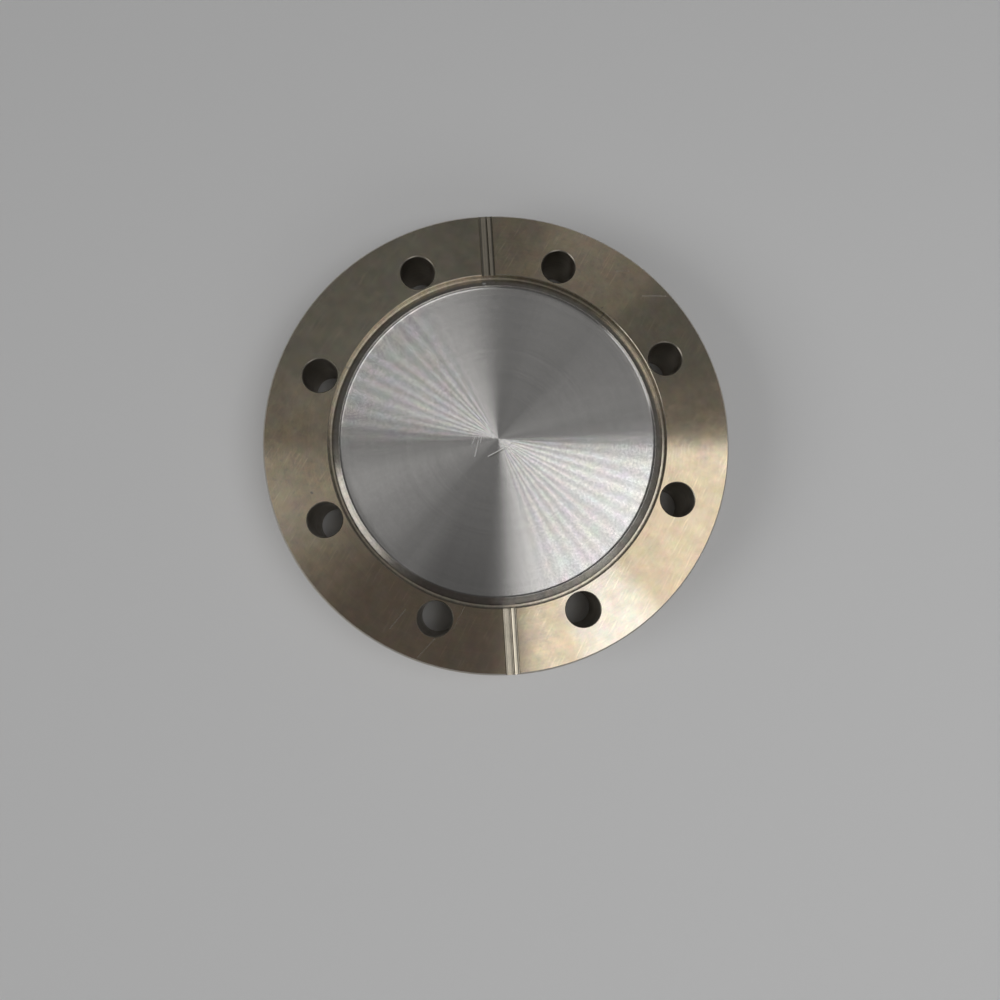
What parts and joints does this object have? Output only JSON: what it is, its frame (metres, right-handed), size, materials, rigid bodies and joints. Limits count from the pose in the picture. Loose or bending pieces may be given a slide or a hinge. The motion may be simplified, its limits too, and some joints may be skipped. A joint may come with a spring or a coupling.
{
  "type": "blank cf vacuum flange",
  "caption": "Round blank vacuum flange with a ring of through bolt holes, a stepped gasket recess with a knife edge round a turned disc, and opposed leak-check grooves.",
  "frame": {"origin": "centre of the flat back face, where the flange axis meets it", "axes": "+Z along the flange axis towards the sealing side with its recess and knife edge; +Y along a leak-check groove, midway between two bolt holes"},
  "size_m": [0.1134, 0.1134, 0.0175],
  "materials": {
    "flange_steel": "fine turned"
  },
  "bodies": {
    "root": {"blank_flange": "flange_steel"}
  },
  "joints": []
}
